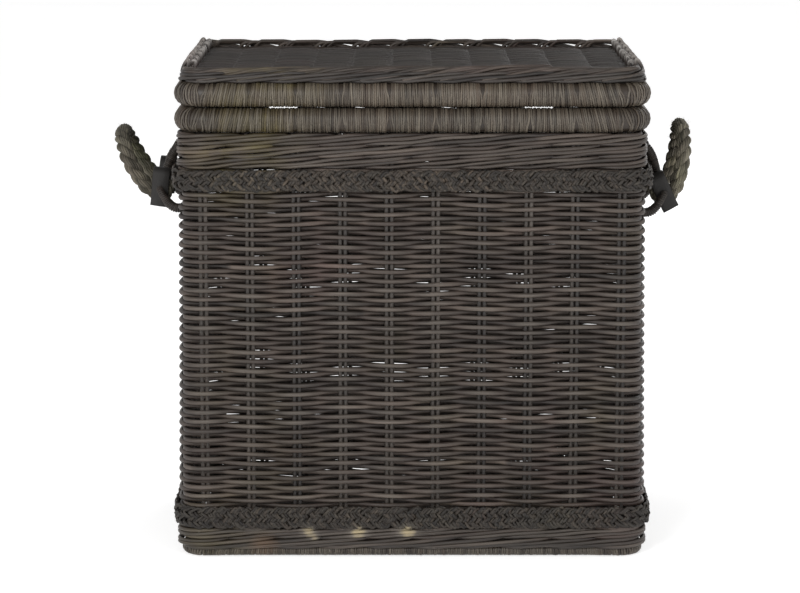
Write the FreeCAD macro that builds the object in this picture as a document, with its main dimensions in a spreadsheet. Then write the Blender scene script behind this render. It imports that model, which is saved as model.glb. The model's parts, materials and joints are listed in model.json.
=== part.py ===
import FreeCAD, Part
import math
import os
import Sketcher
from FreeCAD import Placement, Rotation, Vector

# Rectangular woven cane laundry basket with a hinged lid and two rope handles.
# Millimetres, +Z up, front face towards -Y, origin on the floor under the middle of the basket.

os.makedirs("parts", exist_ok=True)
doc = FreeCAD.newDocument("LaundryBasket")

DIMENSIONS = {
    # woven wall, measured to its outer face
    "wall_half_width": 250, "wall_half_depth": 165, "wall_thick": 12, "wall_corner": 28,
    # heights of the bands, bottom to top
    "lower_wale_low": 14.5, "lower_braid_low": 29, "weave_low": 57,
    "upper_braid_low": 399, "upper_wale_low": 423, "upper_wale_top": 460.8,
    "braid_proud": 9,
    # wrapped rods of the three rims
    "base_rim_radius": 7.5, "base_core_radius": 4.5, "base_rim_height": 6.9,
    "rim_radius": 13.5, "rim_core_radius": 10, "rim_height": 474.5,
    "rim_half_width": 241.5, "rim_half_depth": 156.5, "rim_corner": 22,
    "lid_rim_rise": 27.4,
    # canes inside the weave
    "stake_radius": 2.25, "stake_fit": 0.05, "stake_gap": 5.5, "stake_low": 14.6, "stake_top": 460.5,
    "front_pitch": 49.7, "side_pitch": 50,
    "base_rod_radius": 2.5, "base_rod_pitch": 50,
    # woven base
    "base_panel_low": 2.5, "base_panel_thick": 10, "base_gap": 0.2,
    # lid
    "lid_half_width": 246, "lid_half_depth": 161, "lid_corner": 24, "lid_wall": 10,
    "lid_band_low": 515.5, "lid_band_tall": 11, "lid_panel_low": 519, "lid_panel_thick": 8,
    "lid_border_wide": 12, "lid_border_tall": 7.5,
    "lid_rib_radius": 2, "lid_rib_pitch": 43, "lid_side_pitch": 43,
    # hinge loops of cane peel
    "loop_radius": 16.25, "loop_bore": 13.8, "loop_wide": 14, "loop_offset": 149.1,
    "notch_radius": 17.1, "notch_wide": 16, "slot_low": 451.3,
    # handle ears: skewed loops of wrapped cane whose bar carries the rope
    "pivot_out": 277, "left_pivot_height": 388, "right_pivot_height": 383, "pivot_spacing": 50,
    "ear_radius": 4, "ear_bend": 7, "ear_half_bar": 15,
    "ear_top": 432, "ear_top_out": 263, "ear_drop": 20, "ear_bottom_out": 264, "ear_seat": 0.1,
    # rope handles
    "eye_radius": 10, "eye_rope_radius": 5.5, "rope_radius": 9, "taper_tall": 14,
    "bail_tall": 71, "bail_bend": 40, "left_lean": 30, "right_lean": 10,
    # leather straps folded over the rope eyes
    "strap_wide": 16, "strap_thick": 2.2, "strap_clear": 0.8, "strap_tail": 23,
    "strap_short": 10, "strap_bore": 4.5, "strap_tilt": 37,
}

FRONT_PAIRS = 10
SIDE_PAIRS = 6
BASE_RODS = 9
LID_RIBS = 11
LID_SIDE_STAKES = 7

sheet = doc.addObject("Spreadsheet::Sheet", "Dims")
for row, (alias, value) in enumerate(DIMENSIONS.items(), start=1):
    sheet.set(f"A{row}", alias)
    sheet.set(f"B{row}", str(value))
    sheet.setAlias(f"B{row}", alias)
doc.recompute()

nodes = []


def size(expression):
    """The value of an expression over the sheet's cells."""
    return float(sheet.evalExpression(expression))


def keep(item, label):
    """Mark an object as a finished sub-part."""
    item.Label = label
    nodes.append(item)
    return item


def bind(item, **expressions):
    for name, expression in expressions.items():
        item.setExpression(name.replace("__", "."), expression)


def origin_plane(body, role):
    return next(plane for plane in body.Origin.OriginFeatures if plane.Role == role)


def new_sketch(body, name, role, offset=None):
    sketch = body.newObject("Sketcher::SketchObject", name)
    sketch.AttachmentSupport = (origin_plane(body, role), [""])
    sketch.MapMode = "FlatFace"
    if offset:
        sketch.setExpression("AttachmentOffset.Base.z", offset)
    return sketch


def driven(sketch, constraint, expression):
    """Add a dimensional constraint and bind it to the sheet."""
    index = sketch.addConstraint(constraint)
    sketch.setExpression(f"Constraints[{index}]", expression)


def rounded_rectangle(sketch, half_x, half_y, corner):
    """Closed rectangle with four equal rounded corners, centred on the sketch's origin."""
    hx, hy, r = size(half_x), size(half_y), size(corner)
    first = sketch.GeometryCount
    sides = [
        ((-hx + r, -hy), (hx - r, -hy)),
        ((hx, -hy + r), (hx, hy - r)),
        ((hx - r, hy), (-hx + r, hy)),
        ((-hx, hy - r), (-hx, -hy + r)),
    ]
    centres = [(hx - r, -hy + r), (hx - r, hy - r), (-hx + r, hy - r), (-hx + r, -hy + r)]
    for number, (side, centre) in enumerate(zip(sides, centres)):
        begin, finish = side
        sketch.addGeometry(Part.LineSegment(Vector(*begin, 0), Vector(*finish, 0)), False)
        circle = Part.Circle(Vector(*centre, 0), Vector(0, 0, 1), r)
        low = math.radians(90 * number - 90)
        sketch.addGeometry(Part.ArcOfCircle(circle, low, low + math.pi / 2), False)
    for step in range(8):
        here, after = first + step, first + (step + 1) % 8
        sketch.addConstraint(Sketcher.Constraint("Tangent", here, 2, after, 1))
    sketch.addConstraint(Sketcher.Constraint("Horizontal", first))
    sketch.addConstraint(Sketcher.Constraint("Vertical", first + 2))
    for arc in (3, 5, 7):
        sketch.addConstraint(Sketcher.Constraint("Equal", first + 1, first + arc))
    sketch.addConstraint(Sketcher.Constraint("Symmetric", first + 1, 3, first + 5, 3, -1, 1))
    driven(sketch, Sketcher.Constraint("Radius", first + 1, r), corner)
    driven(sketch, Sketcher.Constraint("DistanceX", -1, 1, first + 2, 1, hx), half_x)
    driven(sketch, Sketcher.Constraint("DistanceY", first, 1, -1, 1, hy), half_y)


def circle_at(sketch, x, y, radius):
    """Circle whose centre and radius follow the sheet; x or y may be the text 0."""
    place = Vector(size(x), size(y), 0)
    index = sketch.addGeometry(Part.Circle(place, Vector(0, 0, 1), size(radius)), False)
    driven(sketch, Sketcher.Constraint("Radius", index, size(radius)), radius)
    for kind, text, value in (("DistanceX", x, place.x), ("DistanceY", y, place.y)):
        if text == "0":
            axis = -2 if kind == "DistanceX" else -1
            sketch.addConstraint(Sketcher.Constraint("PointOnObject", index, 3, axis))
        elif value > 0:
            driven(sketch, Sketcher.Constraint(kind, -1, 1, index, 3, value), text)
        else:
            driven(sketch, Sketcher.Constraint(kind, index, 3, -1, 1, -value), f"-({text})")


def plate(label, half_x, half_y, corner, tall, low, wall=None):
    """Flat rounded plate, or a ring with the given wall, standing at height low."""
    body = doc.addObject("PartDesign::Body", label)
    sketch = new_sketch(body, f"{label}_plan", "XY_Plane")
    rounded_rectangle(sketch, half_x, half_y, corner)
    if wall:
        rounded_rectangle(sketch, *(f"{outer} - ({wall})" for outer in (half_x, half_y, corner)))
    pad = body.newObject("PartDesign::Pad", f"{label}_pad")
    pad.Profile = sketch
    bind(pad, Length=tall)
    bind(body, Placement__Base__z=low)
    return body


def ring_rod(label, half_x, half_y, corner, radius, height, bore=None):
    """Round rod bent into a closed rounded rectangle; with a bore it is the wrapping around it."""
    body = doc.addObject("PartDesign::Body", label)
    path = new_sketch(body, f"{label}_path", "XY_Plane")
    rounded_rectangle(path, half_x, half_y, corner)
    for kind, amount in (("PartDesign::AdditivePipe", radius), ("PartDesign::SubtractivePipe", bore)):
        if amount:
            section = new_sketch(body, f"{label}_section", "YZ_Plane")
            circle_at(section, f"-({half_y})", "0", amount)
            doc.recompute()
            pipe = body.newObject(kind, f"{label}_pipe")
            pipe.Profile = section
            pipe.Spine = (path, [])
    bind(body, Placement__Base__z=height)
    return body


def rod(name, radius, length, place, spin=None):
    """Straight cane; place gives the expressions of its foot, spin its direction."""
    item = doc.addObject("Part::Cylinder", name)
    item.Placement = Placement(Vector(), spin or Rotation())
    bind(item, Radius=radius, Height=length)
    for axis, expression in zip("xyz", place):
        item.setExpression(f"Placement.Base.{axis}", expression)
    return item


def group(name, items):
    compound = doc.addObject("Part::Compound", name)
    compound.Links = items
    return compound


def cut(label, base, tools):
    result = doc.addObject("Part::Cut", f"{label}_cut")
    result.Base = base
    result.Tool = tools if not isinstance(tools, list) else group(f"{label}_tools", tools)
    return keep(result, label)


def position(index, count, pitch):
    """Expression for one place in an evenly spaced row centred on zero."""
    return f"{index - (count - 1) / 2} * {pitch}"


def smooth_path(points, radius):
    """Wire of straight runs joined by tangent arcs of one radius."""
    edges = []
    start = points[0]
    for before, corner, after in zip(points, points[1:], points[2:]):
        back = (before - corner).normalize()
        ahead = (after - corner).normalize()
        half = back.getAngle(ahead) / 2
        reach = radius / math.tan(half)
        first = corner + back * reach
        last = corner + ahead * reach
        centre = corner + (back + ahead).normalize() * (radius / math.sin(half))
        middle = centre + (corner - centre).normalize() * radius
        edges.append(Part.LineSegment(start, first).toShape())
        edges.append(Part.Arc(first, middle, last).toShape())
        start = last
    edges.append(Part.LineSegment(start, points[-1]).toShape())
    return Part.Wire(edges)


# ---------------------------------------------------------------- canes of the walls
MID_X = "(Dims.wall_half_width - Dims.wall_thick / 2)"
MID_Y = "(Dims.wall_half_depth - Dims.wall_thick / 2)"
STAKE_LONG = "Dims.stake_top - Dims.stake_low"
CHANNEL = "Dims.stake_radius + Dims.stake_fit"

stake_sides = {
    "stakes_front": (FRONT_PAIRS, "Dims.front_pitch", lambda along: (along, f"-{MID_Y}")),
    "stakes_back": (FRONT_PAIRS, "Dims.front_pitch", lambda along: (along, MID_Y)),
    "stakes_left": (SIDE_PAIRS, "Dims.side_pitch", lambda along: (f"-{MID_X}", along)),
    "stakes_right": (SIDE_PAIRS, "Dims.side_pitch", lambda along: (MID_X, along)),
}
channels = []
for label, (pairs, pitch, place) in stake_sides.items():
    stakes = []
    for index in range(pairs):
        for hand in ("-", "+"):
            along = f"({position(index, pairs, pitch)} {hand} Dims.stake_gap / 2)"
            where = (*place(along), "Dims.stake_low")
            stakes.append(rod(f"{label}_rod", "Dims.stake_radius", STAKE_LONG, where))
            channels.append(rod(f"{label}_channel", CHANNEL, STAKE_LONG, where))
    keep(group(label, stakes), label)
stake_channels = group("stake_channels", channels)

# ---------------------------------------------------------------- base
base_width = "Dims.wall_half_width - Dims.base_rim_radius"
base_depth = "Dims.wall_half_depth - Dims.base_rim_radius"
base_corner = "Dims.wall_corner - Dims.base_rim_radius"
base_core = ring_rod("base_rim_core", base_width, base_depth, base_corner,
                     "Dims.base_core_radius", "Dims.base_rim_height")
keep(base_core, "base_rim_core")
base_wrap = ring_rod("base_rim_wrap_round", base_width, base_depth, base_corner,
                     "Dims.base_rim_radius", "Dims.base_rim_height", "Dims.base_core_radius")

# the wrapping is worn flat where it stands on the floor
floor_slab = doc.addObject("Part::Box", "floor_slab")
bind(floor_slab, Length="2 * Dims.wall_half_width", Width="2 * Dims.wall_half_depth",
     Height="Dims.base_rim_radius", Placement__Base__x="-Dims.wall_half_width",
     Placement__Base__y="-Dims.wall_half_depth", Placement__Base__z="-Dims.base_rim_radius")
cut("base_rim_wrap", base_wrap, floor_slab)

inner_width = "Dims.wall_half_width - 2 * Dims.base_rim_radius - Dims.base_gap"
inner_depth = "Dims.wall_half_depth - 2 * Dims.base_rim_radius - Dims.base_gap"
base_plain = plate("base_panel_plain", inner_width, inner_depth, "Dims.wall_corner / 2",
                   "Dims.base_panel_thick", "Dims.base_panel_low")
along_y = Rotation(Vector(1, 0, 0), -90)
base_rods = []
base_channels = []
for index in range(BASE_RODS):
    where = (position(index, BASE_RODS, "Dims.base_rod_pitch"), f"-({inner_depth})",
             "Dims.base_panel_low + Dims.base_panel_thick / 2")
    long = f"2 * ({inner_depth})"
    base_rods.append(rod("base_rod", "Dims.base_rod_radius", long, where, along_y))
    base_channels.append(rod("base_channel", "Dims.base_rod_radius + Dims.stake_fit", long, where, along_y))
keep(group("base_rods", base_rods), "base_rods")
cut("base_panel", base_plain, base_channels)

# ---------------------------------------------------------------- bands of the walls
bands = {
    "lower_wale": ("Dims.lower_wale_low", "Dims.lower_braid_low", None),
    "lower_braid": ("Dims.lower_braid_low", "Dims.weave_low", "Dims.braid_proud"),
    "weave_main": ("Dims.weave_low", "Dims.upper_braid_low", None),
    "upper_braid": ("Dims.upper_braid_low", "Dims.upper_wale_low", "Dims.braid_proud"),
    "upper_wale": ("Dims.upper_wale_low", "Dims.upper_wale_top", None),
}
along_x = Rotation(Vector(0, 1, 0), 90)


def loop_slots():
    """Slots through the top of the rear wall, in which the two hinge loops turn."""
    slots = []
    for hand in ("-", "+"):
        slot = doc.addObject("Part::Box", "loop_slot")
        bind(slot, Length="Dims.notch_wide", Width="2 * Dims.wall_thick",
             Height="Dims.upper_wale_top - Dims.slot_low + Dims.wall_thick",
             Placement__Base__x=f"{hand}Dims.loop_offset - Dims.notch_wide / 2",
             Placement__Base__y="Dims.wall_half_depth - 1.5 * Dims.wall_thick",
             Placement__Base__z="Dims.slot_low")
        slots.append(slot)
    return slots


for label, (low, top, proud) in bands.items():
    extra = f" + {proud}" if proud else ""
    band = plate(f"{label}_plain", f"Dims.wall_half_width{extra}", f"Dims.wall_half_depth{extra}",
                 f"Dims.wall_corner{extra}", f"{top} - {low}", low, f"Dims.wall_thick{extra}")
    if label == "upper_wale":
        cut(label, band, [stake_channels] + loop_slots())
    else:
        cut(label, band, stake_channels)

# ---------------------------------------------------------------- rims of the body and the lid
LID_RIM_HEIGHT = "Dims.rim_height + Dims.lid_rim_rise"
for prefix, height in (("body_rim", "Dims.rim_height"), ("lid_rim", LID_RIM_HEIGHT)):
    core = ring_rod(f"{prefix}_core", "Dims.rim_half_width", "Dims.rim_half_depth", "Dims.rim_corner",
                    "Dims.rim_core_radius", height)
    keep(core, f"{prefix}_core")
    wrap = ring_rod(f"{prefix}_wrap", "Dims.rim_half_width", "Dims.rim_half_depth", "Dims.rim_corner",
                    "Dims.rim_radius", height, "Dims.rim_core_radius")
    keep(wrap, f"{prefix}_wrap")

# ---------------------------------------------------------------- lid
band_plain = plate("lid_band_plain", "Dims.lid_half_width", "Dims.lid_half_depth", "Dims.lid_corner",
                   "Dims.lid_band_tall", "Dims.lid_band_low", "Dims.lid_wall")
lid_mid_x = "(Dims.lid_half_width - Dims.lid_wall / 2)"
lid_mid_y = "(Dims.lid_half_depth - Dims.lid_wall / 2)"
lid_stake_sides = [
    (LID_RIBS, "Dims.lid_rib_pitch", lambda along: (along, f"-{lid_mid_y}")),
    (LID_RIBS, "Dims.lid_rib_pitch", lambda along: (along, lid_mid_y)),
    (LID_SIDE_STAKES, "Dims.lid_side_pitch", lambda along: (f"-{lid_mid_x}", along)),
    (LID_SIDE_STAKES, "Dims.lid_side_pitch", lambda along: (lid_mid_x, along)),
]
lid_stakes = []
lid_channels = []
for hand in ("-", "+"):
    where = (f"{hand}Dims.loop_offset - Dims.notch_wide / 2", "Dims.rim_half_depth", LID_RIM_HEIGHT)
    lid_channels.append(rod("band_notch", "Dims.notch_radius", "Dims.notch_wide", where, along_x))
for count, pitch, place in lid_stake_sides:
    for index in range(count):
        where = (*place(position(index, count, pitch)), "Dims.lid_band_low")
        lid_stakes.append(rod("lid_stake", "Dims.lid_rib_radius", "Dims.lid_band_tall", where))
        lid_channels.append(rod("lid_stake_channel", "Dims.lid_rib_radius + Dims.stake_fit",
                                "Dims.lid_band_tall", where))
keep(group("lid_stakes", lid_stakes), "lid_stakes")
cut("lid_band", band_plain, lid_channels)

panel_x = "Dims.lid_half_width - Dims.lid_wall - Dims.base_gap"
panel_y = "Dims.lid_half_depth - Dims.lid_wall - Dims.base_gap"
panel_plain = plate("lid_top_plain", panel_x, panel_y, "Dims.lid_corner - Dims.lid_wall",
                    "Dims.lid_panel_thick", "Dims.lid_panel_low")
lid_ribs = []
rib_channels = []
for index in range(LID_RIBS):
    where = (position(index, LID_RIBS, "Dims.lid_rib_pitch"), f"-({panel_y})",
             "Dims.lid_panel_low + Dims.lid_panel_thick / 2")
    long = f"2 * ({panel_y})"
    lid_ribs.append(rod("lid_rib", "Dims.lid_rib_radius", long, where, along_y))
    rib_channels.append(rod("rib_channel", "Dims.lid_rib_radius + Dims.stake_fit", long, where, along_y))
keep(group("lid_ribs", lid_ribs), "lid_ribs")
cut("lid_top_panel", panel_plain, rib_channels)

border = plate("lid_top_border", "Dims.lid_half_width", "Dims.lid_half_depth", "Dims.lid_corner",
               "Dims.lid_border_tall", "Dims.lid_panel_low + Dims.lid_panel_thick", "Dims.lid_border_wide")
keep(border, "lid_top_border")


def stadium(sketch, radius, rise):
    """Slot outline of one radius round two centres, the lower one on the sketch's origin."""
    r, top = size(radius), size(rise)
    low = Part.Circle(Vector(), Vector(0, 0, 1), r)
    high = Part.Circle(Vector(0, top, 0), Vector(0, 0, 1), r)
    first = sketch.GeometryCount
    sketch.addGeometry(Part.ArcOfCircle(low, math.pi, 2 * math.pi), False)
    sketch.addGeometry(Part.LineSegment(Vector(r, 0, 0), Vector(r, top, 0)), False)
    sketch.addGeometry(Part.ArcOfCircle(high, 0, math.pi), False)
    sketch.addGeometry(Part.LineSegment(Vector(-r, top, 0), Vector(-r, 0, 0)), False)
    for step in range(4):
        here, after = first + step, first + (step + 1) % 4
        sketch.addConstraint(Sketcher.Constraint("Tangent", here, 2, after, 1))
    sketch.addConstraint(Sketcher.Constraint("Coincident", first, 3, -1, 1))
    sketch.addConstraint(Sketcher.Constraint("PointOnObject", first + 2, 3, -2))
    driven(sketch, Sketcher.Constraint("Radius", first, r), radius)
    driven(sketch, Sketcher.Constraint("DistanceY", first, 3, first + 2, 3, top), rise)


for label, hand in (("hinge_loop_left", "-"), ("hinge_loop_right", "+")):
    body = doc.addObject("PartDesign::Body", label)
    outline = new_sketch(body, f"{label}_outline", "YZ_Plane")
    stadium(outline, "Dims.loop_radius", "Dims.lid_rim_rise")
    stadium(outline, "Dims.loop_bore", "Dims.lid_rim_rise")
    pad = body.newObject("PartDesign::Pad", f"{label}_pad")
    pad.Profile = outline
    pad.Midplane = True
    bind(pad, Length="Dims.loop_wide")
    bind(body, Placement__Base__x=f"{hand}Dims.loop_offset", Placement__Base__y="Dims.rim_half_depth",
         Placement__Base__z="Dims.rim_height")
    keep(body, label)

# ---------------------------------------------------------------- handle ears
# each ear leaves the wall above the bar, runs along it and goes back into the wall below it
ENDS = (("front", -1), ("rear", 1))
SIDES = (("left", -1), ("right", 1))
spacing = size("Dims.pivot_spacing")
bar = size("Dims.ear_half_bar")
pivot_x = size("Dims.pivot_out")
pivot_z = {side: size(f"Dims.{side}_pivot_height") for side in ("left", "right")}
wall_x = size("Dims.wall_half_width + Dims.ear_seat")
for side, out in SIDES:
    for end, way in ENDS:
        outer_y = way * (spacing + bar)
        inner_y = way * (spacing - bar)
        top_z, top_x = size("Dims.ear_top"), size("Dims.ear_top_out")
        low_z, low_x = pivot_z[side] - size("Dims.ear_drop"), size("Dims.ear_bottom_out")
        route = [
            Vector(out * wall_x, inner_y, top_z),
            Vector(out * top_x, inner_y, top_z),
            Vector(out * pivot_x, inner_y, pivot_z[side]),
            Vector(out * pivot_x, outer_y, pivot_z[side]),
            Vector(out * low_x, outer_y, low_z),
            Vector(out * wall_x, outer_y, low_z),
        ]
        path = smooth_path(route, size("Dims.ear_bend"))
        section = Part.Wire(Part.Circle(route[0], Vector(out, 0, 0), size("Dims.ear_radius")).toShape())
        ear = doc.addObject("Part::Feature", f"{side}_ear_{end}")
        ear.Shape = path.makePipeShell([section], True, False)
        keep(ear, f"{side}_ear_{end}")

# ---------------------------------------------------------------- rope handles
# drawn upright with the pivot line on the Y axis and the wall towards -X, then leaned outwards
LEANS = {"left": "Dims.left_lean", "right": "Dims.right_lean"}
REACH = "Dims.pivot_spacing"


def handle_placement(side, end_way=0, tilt=0.0):
    """Placement of a piece drawn in the upright frame of the handle on the given side."""
    turn = Rotation(Vector(0, 0, 1), 180 if side == "left" else 0)
    lean = Rotation(Vector(0, 1, 0), size(LEANS[side]) + tilt)
    out = -1 if side == "left" else 1
    flip = Rotation(Vector(0, 0, 1), 180 if end_way * out > 0 else 0)
    return Placement(Vector(out * pivot_x, end_way * spacing, pivot_z[side]), turn * lean * flip)


def rope(side):
    body = doc.addObject("PartDesign::Body", f"{side}_bail")
    arch = new_sketch(body, f"{side}_bail_path", "YZ_Plane", "Dims.eye_radius")
    half, tall = size(REACH), size("Dims.bail_tall")
    bend, low = size("Dims.bail_bend"), size("Dims.taper_tall")
    crest_y, knee_z = half - bend, tall - bend
    flank = math.pi / 2
    arcs = [
        Part.ArcOfCircle(Part.Circle(Vector(-crest_y, knee_z, 0), Vector(0, 0, 1), bend), flank, 2 * flank),
        Part.ArcOfCircle(Part.Circle(Vector(crest_y, knee_z, 0), Vector(0, 0, 1), bend), 0, flank),
    ]
    arch.addGeometry(Part.LineSegment(Vector(-half, low, 0), Vector(-half, knee_z, 0)), False)
    arch.addGeometry(arcs[0], False)
    arch.addGeometry(Part.LineSegment(Vector(-crest_y, tall, 0), Vector(crest_y, tall, 0)), False)
    arch.addGeometry(arcs[1], False)
    arch.addGeometry(Part.LineSegment(Vector(half, knee_z, 0), Vector(half, low, 0)), False)
    arch.addConstraint(Sketcher.Constraint("Vertical", 0))
    arch.addConstraint(Sketcher.Constraint("Tangent", 0, 2, 1, 2))
    arch.addConstraint(Sketcher.Constraint("Tangent", 1, 1, 2, 1))
    arch.addConstraint(Sketcher.Constraint("Tangent", 2, 2, 3, 2))
    arch.addConstraint(Sketcher.Constraint("Tangent", 3, 1, 4, 1))
    arch.addConstraint(Sketcher.Constraint("Equal", 1, 3))
    arch.addConstraint(Sketcher.Constraint("Symmetric", 0, 1, 4, 2, -2))
    driven(arch, Sketcher.Constraint("Radius", 1, bend), "Dims.bail_bend")
    driven(arch, Sketcher.Constraint("DistanceX", 0, 1, -1, 1, half), REACH)
    driven(arch, Sketcher.Constraint("DistanceY", -1, 1, 0, 1, low), "Dims.taper_tall")
    driven(arch, Sketcher.Constraint("DistanceY", -1, 1, 2, 1, tall), "Dims.bail_tall")
    section = new_sketch(body, f"{side}_bail_section", "XY_Plane", "Dims.taper_tall")
    circle_at(section, "Dims.eye_radius", f"-{REACH}", "Dims.rope_radius")
    doc.recompute()
    pipe = body.newObject("PartDesign::AdditivePipe", f"{side}_bail_pipe")
    pipe.Profile = section
    pipe.Spine = (arch, [])
    shapes = [body]
    for hand in ("-", "+"):
        eye = doc.addObject("Part::Torus", f"{side}_eye")
        eye.Placement = Placement(Vector(), Rotation(Vector(1, 0, 0), 90))
        bind(eye, Radius1="Dims.eye_radius", Radius2="Dims.eye_rope_radius",
             Placement__Base__y=f"{hand}{REACH}")
        taper = doc.addObject("Part::Cone", f"{side}_taper")
        bind(taper, Radius1="Dims.eye_rope_radius", Radius2="Dims.rope_radius", Height="Dims.taper_tall",
             Placement__Base__x="Dims.eye_radius", Placement__Base__y=f"{hand}{REACH}")
        shapes += [eye, taper]
    fused = doc.addObject("Part::MultiFuse", f"{side}_rope_fuse")
    fused.Shapes = shapes
    fused.Placement = handle_placement(side)
    keep(fused, f"{side}_rope")


def polygon(sketch, corners):
    """Closed outline through corners given as pairs of expressions, each held by its two distances."""
    points = [Vector(size(x), size(y), 0) for x, y in corners]
    count = len(points)
    for index, point in enumerate(points):
        sketch.addGeometry(Part.LineSegment(point, points[(index + 1) % count]), False)
    for index in range(count):
        sketch.addConstraint(Sketcher.Constraint("Coincident", index, 2, (index + 1) % count, 1))
    for index, (point, corner) in enumerate(zip(points, corners)):
        for kind, value, text in (("DistanceX", point.x, corner[0]), ("DistanceY", point.y, corner[1])):
            if value > 0:
                driven(sketch, Sketcher.Constraint(kind, -1, 1, index, 1, value), text)
            else:
                driven(sketch, Sketcher.Constraint(kind, index, 1, -1, 1, -value), f"-({text})")


def strap(side, end, way):
    """Leather strap folded over the rope eye; the ear's bar passes through both of its flanks."""
    label = f"{side}_strap_{end}"
    body = doc.addObject("PartDesign::Body", label)
    fold = new_sketch(body, f"{label}_fold", "YZ_Plane")
    near = "(Dims.eye_rope_radius + Dims.strap_clear)"
    far = "(Dims.eye_rope_radius + Dims.strap_clear + Dims.strap_thick)"
    under = "(Dims.eye_radius + Dims.eye_rope_radius + Dims.strap_clear)"
    over = "(Dims.eye_radius + Dims.eye_rope_radius + Dims.strap_clear + Dims.strap_thick)"
    polygon(fold, [
        (f"-{far}", "-Dims.strap_tail"), (f"-{near}", "-Dims.strap_tail"), (f"-{near}", under),
        (near, under), (near, "-Dims.strap_short"), (far, "-Dims.strap_short"), (far, over),
        (f"-{far}", over),
    ])
    pad = body.newObject("PartDesign::Pad", f"{label}_pad")
    pad.Profile = fold
    pad.Midplane = True
    bind(pad, Length="Dims.strap_wide")
    hole = new_sketch(body, f"{label}_hole", "XZ_Plane")
    circle_at(hole, "0", "0", "Dims.strap_bore")
    doc.recompute()
    bore = body.newObject("PartDesign::Pocket", f"{label}_bore")
    bore.Profile = hole
    bore.Midplane = True
    bind(bore, Length=f"4 * {far}")
    body.Placement = handle_placement(side, way, -size("Dims.strap_tilt"))
    keep(body, label)


for side, out in SIDES:
    rope(side)
    for end, way in ENDS:
        strap(side, end, way)

# ---------------------------------------------------------------- checks and files
doc.recompute()
for item in doc.Objects:
    if "Invalid" in item.State or "Error" in item.State:
        raise RuntimeError(f"{item.Label} did not recompute: {item.State}")
for item in nodes:
    if item.Shape.isNull() or not item.Shape.isValid() or item.Shape.Volume <= 0:
        raise RuntimeError(f"{item.Label} has no valid solid")
for item in nodes:
    item.Shape.exportStep(os.path.join("parts", f"{item.Label}.step"))
    print(f"{item.Label:20s} solids {len(item.Shape.Solids):3d}  volume {item.Shape.Volume / 1000:9.1f} cm3")
print("nodes:", len(nodes))
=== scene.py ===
import json
import math

import bpy
import numpy as np
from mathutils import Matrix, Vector


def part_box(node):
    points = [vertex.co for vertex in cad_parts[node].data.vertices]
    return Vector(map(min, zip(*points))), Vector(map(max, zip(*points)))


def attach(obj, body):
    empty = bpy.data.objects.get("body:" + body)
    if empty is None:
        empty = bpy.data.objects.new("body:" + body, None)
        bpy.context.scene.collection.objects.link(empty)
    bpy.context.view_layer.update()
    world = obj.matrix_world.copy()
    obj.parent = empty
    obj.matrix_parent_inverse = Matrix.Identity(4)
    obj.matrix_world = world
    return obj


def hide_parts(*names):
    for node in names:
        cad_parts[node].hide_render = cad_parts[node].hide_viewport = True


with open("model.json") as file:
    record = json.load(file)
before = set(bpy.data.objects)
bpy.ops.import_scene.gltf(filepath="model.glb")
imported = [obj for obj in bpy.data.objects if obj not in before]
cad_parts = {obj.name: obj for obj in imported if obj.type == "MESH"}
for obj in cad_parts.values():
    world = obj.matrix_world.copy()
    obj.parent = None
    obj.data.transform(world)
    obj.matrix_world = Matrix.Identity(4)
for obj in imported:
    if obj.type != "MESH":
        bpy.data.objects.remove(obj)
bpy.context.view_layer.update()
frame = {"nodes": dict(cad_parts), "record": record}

MM = 0.001
TAU = 2 * math.pi
rng = np.random.default_rng(538)


# ------------------------------------------------------------------ measures, in millimetres
def box_mm(node):
    low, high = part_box(node)
    return np.array(low) / MM, np.array(high) / MM


def heights(node):
    """Lowest and highest point of a CAD node."""
    low, high = box_mm(node)
    return low[2], high[2]


def spaced(count, pitch):
    """Evenly spaced places about the middle."""
    return [(k - (count - 1) / 2) * pitch for k in range(count)]


WALL_THICK = 12.0
HALF_X, HALF_Y = box_mm("weave_main")[1][:2] - WALL_THICK / 2
CORNER = 22.0
LOWER_WALE, LOWER_BRAID = heights("lower_wale"), heights("lower_braid")
UPPER_BRAID, UPPER_WALE = heights("upper_braid"), heights("upper_wale")
STAKE_R, WEAVER_R = 2.25, 2.3
FRONT_X, SIDE_Y = spaced(10, 49.7), spaced(6, 50.0)
LID_X, LID_Y = spaced(11, 43.0), spaced(7, 43.0)
BASE_X = spaced(9, 50.0)


# ------------------------------------------------------------------ plan outlines
class Outline:
    """Rounded rectangle in plan, run anticlockwise from the middle of the front."""

    def __init__(self, half_x, half_y, corner):
        quarter = np.linspace(0, math.pi / 2, 60)
        x, y = [0.0], [-half_y]
        centres = [(half_x - corner, -half_y + corner, -math.pi / 2),
                   (half_x - corner, half_y - corner, 0),
                   (-half_x + corner, half_y - corner, math.pi / 2),
                   (-half_x + corner, -half_y + corner, math.pi)]
        nx, ny = [0.0], [-1.0]
        for cx, cy, start in centres:
            x += list(cx + corner * np.cos(start + quarter))
            y += list(cy + corner * np.sin(start + quarter))
            nx += list(np.cos(start + quarter))
            ny += list(np.sin(start + quarter))
        x, y, nx, ny = (np.array(v + v[:1]) for v in (x, y, nx, ny))
        self.s = np.r_[0, np.cumsum(np.hypot(np.diff(x), np.diff(y)))]
        self.length = self.s[-1]
        self.table = np.c_[x, y, nx, ny]

    def at(self, s):
        """(points, outward normals) in plan at the distances s."""
        s = np.mod(np.asarray(s, float), self.length)
        x, y, nx, ny = (np.interp(s, self.s, column) for column in self.table.T)
        scale = np.hypot(nx, ny)
        return np.c_[x, y], np.c_[nx / scale, ny / scale]

    def nearest(self, x, y):
        s = np.linspace(0, self.length, 8000, endpoint=False)
        points = self.at(s)[0]
        return s[np.argmin(np.hypot(points[:, 0] - x, points[:, 1] - y))]

    def offset(self, s, mark):
        """Signed distance from mark to s, the short way round."""
        return (s - mark + self.length / 2) % self.length - self.length / 2


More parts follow.
